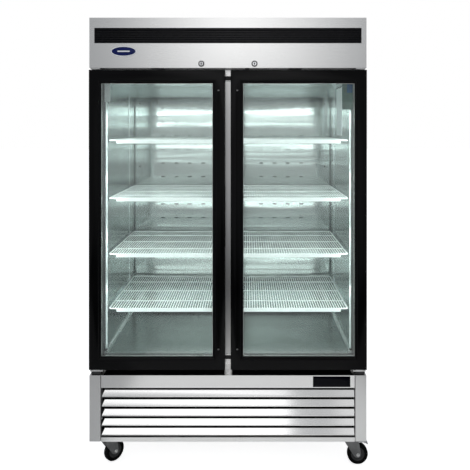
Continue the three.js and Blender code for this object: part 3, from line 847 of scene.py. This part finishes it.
def build_light_bar(name, side):
    channel = Shape()
    channel.box(*sided(side, 600.6, 603.6, -327.9, -316.1, 545, 1845))
    channel.box(*sided(side, 592.2, 601, -327.9, -316.1, 545, 553))
    channel.box(*sided(side, 592.2, 601, -327.9, -316.1, 1837, 1845))
    channel.piece("light_channel_" + name, FAN_BLACK, "cabinet", slot="lamp_lens", bevel=0.0006)
    lens = Shape()
    rings = []
    for z in (553.5, 1836.5):
        ring = []
        for x, y in ((600.4, -327.4), (596, -327.2), (592.8, -324.5), (592.0, -322), (592.8, -319.5),
                     (596, -316.8), (600.4, -316.6)):
            ring.append((side * x * MM, y * MM, z * MM))
        rings.append(ring)
    lens.bands(rings)
    lens.piece("light_lens_" + name, LENS, "cabinet", ["light_bar_" + name], "lamp_lens", smooth=60)


def build_shelf(name, side, level, z):
    inner, outer, front, back = 34, 592, SHELF_FRONT, SHELF_BACK
    node = f"shelf_{name}_{level}"
    wires = Shape()
    a, b = sorted((side * inner, side * outer))
    corner = 14
    loop = rounded_rectangle(a + 3.5, b - 3.5, front + 3.5, back - 3.5, corner, 5)
    ring = [(x * MM, y * MM, (z - 6.2) * MM) for x, y in loop]
    wires.tube(ring + ring[:2], 3.2 * MM, 10)
    first, last = a + 10, b - 10
    for i in range(SHELF_WIRES):
        x = first + (last - first) * i / (SHELF_WIRES - 1)
        line = mm((x, front + 2.4, z - 8.2), (x, front + 2.8, z - 4.0), (x, front + 6, z - 2.2),
                  (x, back - 6, z - 2.2), (x, back - 2.8, z - 3.6), (x, back - 2.4, z - 8.2))
        wires.tube(line, 2.1 * MM, 6)
    for y in (-190, -20, 150):
        wires.tube(mm((a + 4, y, z - 5.4), (b - 4, y, z - 5.4)), 2.4 * MM, 8)
    wires.piece(node + "_wires", WIRE_WHITE, "cabinet", [node], "shelf_wire", smooth=60)
    band = Shape()
    outline = rounded_rectangle(a + 40, b - 40, z - 21.5, z - 4, 2.0)
    slab(band, outline, -310, -308.4)
    band.box(mm((a + 42, -308.6, z - 5.6))[0], mm((b - 42, -304, z - 4.2))[0])
    band.box(mm((a + 42, -308.6, z - 21.3))[0], mm((b - 42, -305, z - 19.9))[0])
    band.piece(node + "_front_band", WIRE_WHITE, "cabinet", slot="shelf_wire", bevel=0.0003)


def build_duct_panel():
    columns = sorted(s * x for x in (174, 256, 335.5, 417.5) for s in (-1, 1))
    plan = [(-603.4, 303.75), (-481, 303.75), (-481, 290.75)]
    pierced = set()
    for x in columns:
        plan += [(x - 12, 290.75), (x + 12, 290.75)]
        pierced.add(len(plan) - 2)
    plan += [(481, 290.75), (481, 303.75), (603.4, 303.75)]
    levels = [560.0]
    rows = set()
    for i in range(11):
        z = 927 + 82.3 * i
        levels += [z - 3, z + 3]
        rows.add(len(levels) - 2)
    levels.append(1816.0)
    made = sheet(plan, levels, lambda i, j: i in pierced and j in rows)
    panel = made.piece("duct_panel_sheet", PANEL_METAL, "cabinet", ["air_duct_panel"], "liner_metal",
                       smooth=0)
    thicken(panel, 0.0014)
    screws = Shape()
    for x in (-560, 560):
        for z in (600, 1000, 1400, 1780):
            screw_head(screws, Vector((x, 303.0, z)) * MM, (0, -1, 0), 0.005)
    screws.piece("duct_panel_screws", ZINC_PLATE, "cabinet")


def build_floor_beads():
    """Rounded fillets where the interior floor meets the walls."""
    beads = Shape()
    for _, side in SIDES:
        rings = []
        for y in (-318, 288):
            ring = [(side * 603.9 * MM, y * MM, 530.1 * MM)]
            for i in range(7):
                turn = math.radians(15 * i)
                ring.append((side * (591.9 + 12 * (1 - math.cos(turn))) * MM, y * MM,
                             (542.1 - 12 * (1 - math.sin(turn))) * MM))
            rings.append(ring)
        beads.bands(rings)
    beads.piece("floor_beads", CLIP_BRIGHT, "cabinet", smooth=60)


def build_ledge_shade_strips():
    """Ribbed black strips along the ledge under the doors: painted shade, and a painted reflection of the
    doors' black undersides.
    """
    strips = Shape()
    for _, side in SIDES:
        outline = [(-0.3868, 0.4491)]
        for i in range(7):
            y = -386 + i * 7.4
            outline += [(y * MM, 0.4512), ((y + 4.6) * MM, 0.4512), ((y + 5.2) * MM, 0.4503),
                        ((y + 6.8) * MM, 0.4503)]
        outline += [(-0.3345, 0.4503), (-0.3345, 0.4491)]
        a, b = sorted((side * 0.018, side * 0.596))
        strips.bands([[(x, y, z) for y, z in outline] for x in (a, b)])
    strips.piece("ledge_painted_shade_strips", PAINTED_SHADE_BLACK, "cabinet", bevel=0.0002)


def build_labels():
    """Blank stickers inside, where the real ones have print."""
    pale = Shape()
    slab(pale, rounded_rectangle(-594, -567, 1756, 1844, 2), -369.5, -369.0)
    pale.piece("blank_label_pale", LABEL, "door_left", bevel=0.0001)
    tall = Shape()
    tall.box(mm((603.3, -50, 1590))[0], mm((603.9, 130, 1852))[0])
    tall.piece("blank_label_tall", LABEL, "cabinet", bevel=0.0001)
    green = Shape()
    slab(green, rounded_rectangle(549, 600, 1719, 1844, 2), -369.5, -369.0)
    green.piece("blank_label_green", LABEL_GREEN, "door_right", bevel=0.0001)
    blue = Shape()
    slab(blue, rounded_rectangle(572, 598, 1800, 1842, 2), -369.9, -369.6)
    blue.piece("blank_label_blue", LABEL_BLUE, "door_right", bevel=0.0001)


# ---------------- doors

def build_door(name, side):
    body = "door_" + name
    outer = [13.3 * MM, 662 * MM, 479 * MM, 1908 * MM]
    inner = [71.3 * MM, 607 * MM, 538 * MM, 1846 * MM]
    if side < 0:
        outer[0], outer[1] = -outer[1], -outer[0]
        inner[0], inner[1] = -inner[1], -inner[0]
    leaf = Shape().mitred(outer, inner, [
        (0, -0.3445), (0, -0.3985), (0.012, -0.3996), (0.03, -0.4000), (0.79, -0.4000), (0.815, -0.3990),
        (0.83, -0.3972), (0.965, -0.3952), (1.0, -0.3940), (1.0, -0.3905), (0.885, -0.3900), (0.885, -0.3690),
        (0.96, -0.3690), (0.97, -0.3675), (0.97, -0.3455), (0.955, -0.3440), (0.012, -0.3440),
    ])
    frame_piece = leaf.piece(f"door_leaf_{name}", DOOR_BLACK, body, ["door_frame_" + name], "door_black",
                             smooth=30)
    cutters = Shape()
    cutters.box(*sided(side, 40.8, 48.9, -402, -392, 574, 1813))
    cutters.box(*sided(side, 10, 17.5, -394, -364, 1055, 1350))
    for z0, z1 in ((478, 508), (1880, 1910)):
        cutters.box(*sided(side, HINGE_X - 7, HINGE_X + 7, -379, -365, z0, z1))
    pierce(frame_piece, cutters)
    frame_piece.data.shade_smooth()
    frame_piece.data.set_sharp_from_angle(angle=math.radians(30))
    round_edges(frame_piece, 0.0006)
    caps = Shape()
    for z0, z1 in ((1807, 1813.5), (573.5, 579)):
        caps.box(*sided(side, 40.6, 49.1, -399.6, -393, z0, z1))
    caps.piece(f"grip_end_caps_{name}", ZINC_PLATE, body, slot="door_black", bevel=0.0006)
    hinge_sleeves(name, side, body)

    def spread_box(t):
        return [a + (b - a) * t for a, b in zip(outer, inner)]

    edge = spread_box(0.892)
    panes = Shape()
    for y0, y1 in ((-389.6, -385.8), (-373.6, -369.6)):
        panes.box((edge[0], y0 * MM, edge[2]), (edge[1], y1 * MM, edge[3]))
    panes.piece("glass_panes_" + name, GLASS, body, ["door_glass_" + name], "door_glass", bevel=0.0004)
    spacer = Shape().mitred(spread_box(0.90), spread_box(1.06), [
        (0, -0.38565), (1, -0.38565), (1, -0.3737), (0, -0.3737)])
    spacer.piece("glass_spacer_" + name, HINGE_METAL, body, slot="door_glass", bevel=0.0004)
    border = Shape().mitred(spread_box(0.985), spread_box(1.035), [
        (0, -0.38995), (1, -0.38975), (1, -0.3896), (0, -0.3896)])
    border.piece("glass_border_" + name, RUBBER, body, slot="door_glass")
    x0, x1 = sorted((side * 15 * MM, side * 636 * MM))
    x2, x3 = sorted((side * 29 * MM, side * 622 * MM))
    seal = Shape().mitred([x0, x1, 0.487, 1.900], [x2, x3, 0.501, 1.886], [
        (0.25, -0.3437), (0.25, -0.3405), (0.02, -0.3392), (0.0, -0.3372), (0.06, -0.3352), (0.2, -0.3346),
        (0.05, -0.3330), (0.1, -0.3306), (0.5, -0.3303), (0.9, -0.3306), (0.95, -0.3330), (0.8, -0.3346),
        (0.94, -0.3352), (1.0, -0.3372), (0.98, -0.3392), (0.75, -0.3405), (0.75, -0.3437),
    ])
    seal.piece("gasket_profile_" + name, RUBBER, body, ["door_gasket_" + name], "gasket_grey", smooth=50)


def hinge_sleeves(name, side, body):
    sleeves = Shape()
    x, y = side * HINGE_X * MM, HINGE_Y
    for z0, z1 in ((0.4793, 0.5065), (1.8815, 1.9077)):
        sleeves.lathe([(0.0062, z0), (0.0069, z0), (0.0069, z1), (0.0062, z1), (0.0062, z0)], (x, y, 0),
                      (0, 0, 1), 24)
    sleeves.piece("hinge_sleeves_" + name, CLIP_STEEL, body, slot="door_black")


def build_hinges(name, side):
    top = Shape()
    axis = Vector((side * HINGE_X * MM, HINGE_Y, 0))
    top.box(*sided(side, 612, 658, -386, -336, 1912, 1917.9))
    pin = [(0, 1.8845), (0.0052, 1.8845), (0.006, 1.8855), (0.006, 1.9095), (0.0095, 1.9098),
           (0.0095, 1.9121), (0, 1.9121)]
    top.lathe(pin, axis, (0, 0, 1), 24)
    top.piece("hinge_top_plate_" + name, HINGE_METAL, "cabinet", ["hinge_top_" + name], "hinge_steel",
              bevel=0.0008)
    low = Shape()
    low.box(*sided(side, 597, 658, -392, -336, 468, 476))
    low.lathe([(0, 0.4685), (0.006, 0.4685), (0.006, 0.5018), (0.005, 0.5028), (0, 0.5028)], axis, (0, 0, 1),
              24)
    low.lathe([(0.0062, 0.4762), (0.0105, 0.4762), (0.0105, 0.4786), (0.0062, 0.4786), (0.0062, 0.4762)],
              axis, (0, 0, 1), 24)
    for x in (606, 650):
        low.lathe([(0, 0), (0.0042, 0), (0.0042, 0.0014), (0.003, 0.0024), (0, 0.0026)],
                  (side * x * MM, -0.3915, 0.472), (0, -1, 0), 16)
    low.piece("hinge_bottom_plate_" + name, HINGE_METAL, "cabinet", ["hinge_bottom_" + name], "hinge_steel",
              bevel=0.0008)
    knuckle = Shape()
    knuckle.box(*sided(side, 612, 656, -382, -336, 449.4, 468.2))
    knuckle.piece("hinge_knuckle_" + name, TRIM_BLACK, "cabinet", slot="hinge_steel", bevel=0.003)


# ---------------- casters

def build_caster(name, cx, cy, yaw):
    place = Matrix.Translation((cx * MM, cy * MM, 0)) @ Matrix.Rotation(math.radians(yaw), 4, "Z")
    swivel, wheel_body = "swivel_" + name, "wheel_" + name
    fork = Shape()
    fork.lathe(mm((0, 117), (24, 117), (28.2, 118.4), (29, 121), (28.2, 123.6), (25.5, 124.6), (25.5, 126),
                  (29, 127), (29, 131.6), (0, 131.6)), (0, 0, 0), (0, 0, 1), 40)
    for s in (-1, 1):
        outline = [(-28, 117.5), (-24, 110), (18, 46), (24, 40.5), (32, 37), (40, 36.6), (47, 40), (51, 46),
                   (52, 54), (44, 104), (36, 117.5)]
        y0, y1 = sorted((s * 17.6, s * 20.4))
        fork.bands([[(x * MM, y0 * MM, z * MM) for x, z in outline],
                    [(x * MM, y1 * MM, z * MM) for x, z in outline]])
        fork.tube(mm((-20, s * 20.2, 108), (20, s * 20.2, 50)), 1.3 * MM, 6)
    fork.box(mm((-28, -20.4, 113.5))[0], mm((36, 20.4, 117.6))[0])
    fork.turned(place)
    fork.piece("caster_yoke_" + name, ZINC_PLATE, swivel, ["caster_fork_" + name], "zinc_plate", bevel=0.0009)
    axle = Shape()
    for s in (-1, 1):
        axle.lathe(mm((0, 20.2), (9.2, 20.2), (9.2, 21.2), (6.6, 21.4), (6.6, 24.6), (5.6, 25.6),
                      (3.2, 25.8), (0, 25.8)),
                   WHEEL_CENTRE, (0, s, 0), 6)
    axle.lathe(mm((0, -20), (4.6, -20), (4.6, 20), (0, 20)), WHEEL_CENTRE, (0, 1, 0), 16)
    axle.turned(place)
    axle.piece("caster_axle_" + name, HINGE_METAL, swivel, slot="zinc_plate", bevel=0.0003)
    tyre = Shape()
    tread = mm((33, -11.5), (36, -13.4), (44, -14.2), (47.6, -12.8), (49.4, -9.8), (50, -5), (50, 5),
               (49.4, 9.8), (47.6, 12.8), (44, 14.2), (36, 13.4), (33, 11.5), (33, -11.5))
    tyre.lathe(tread, WHEEL_CENTRE, (0, 1, 0), 72)
    tyre.turned(place)
    tyre.piece("caster_tyre_" + name, TYRE, wheel_body, ["caster_wheel_" + name], "wheel_black", smooth=40)
    hub = Shape()
    core = mm((5.2, -14.8), (11.5, -14.8), (12.5, -12), (14, -8.6), (28, -8.0), (31, -10.8), (33.4, -11.2),
              (33.4, 11.2), (31, 10.8), (28, 8.0), (14, 8.6), (12.5, 12), (11.5, 14.8), (5.2, 14.8),
              (5.2, -14.8))
    hub.lathe(core, WHEEL_CENTRE, (0, 1, 0), 48)
    hub.turned(place)
    hub.piece("caster_hub_" + name, FAN_BLACK, wheel_body, slot="wheel_black", smooth=40)
    if cy < 0:
        pedal = Shape()
        pivot_x, pivot_z = 33, 107
        top = [(pivot_x, 110.2), (50, 112.0), (62, 113.4), (64.5, 113), (76, 107.8), (86.4, 103),
               (88, 101.2), (88, 98.2)]
        under = [(86.6, 97.6), (75, 102.6), (63, 107.2), (50, 106.8), (pivot_x, 104)]
        ring = top + under
        pedal.bands([[(x * MM, y * MM, z * MM) for x, z in ring] for y in (-13.8, 13.8)])
        pedal.lathe(mm((2.9, -14), (4.6, -14), (4.6, 14), (2.9, 14), (2.9, -14)),
                    (pivot_x * MM, 0, pivot_z * MM), (0, 1, 0), 24)
        for x, z in ((69, 111.6), (74, 109.4), (79, 107.1), (84, 104.8)):
            pedal.tube(mm((x, -11.5, z), (x, 11.5, z)), 0.9 * MM, 6)
        pedal.turned(place)
        pedal.piece("brake_lever_" + name, CHROME, "pedal_" + name, ["brake_pedal_" + name], "pedal_steel",
                    bevel=0.0006)


# ---------------- the whole

make_world()
make_camera()
make_floor()
make_dark_floor()
build_cabinet()
build_vent()
build_badge()
build_locks()
build_louvres()
build_controller()
build_compressor()
build_interior()
for door_name, door_side in SIDES:
    build_door(door_name, door_side)
    build_hinges(door_name, door_side)
for corner in (("front_left", -590, -340, 45), ("front_right", 590, -340, 0),
               ("rear_left", -590, 340, 180), ("rear_right", 590, 340, -90)):
    build_caster(*corner)

make_studio_cards()
make_interior_lamps()
bpy.context.scene.view_settings.view_transform = "Standard"
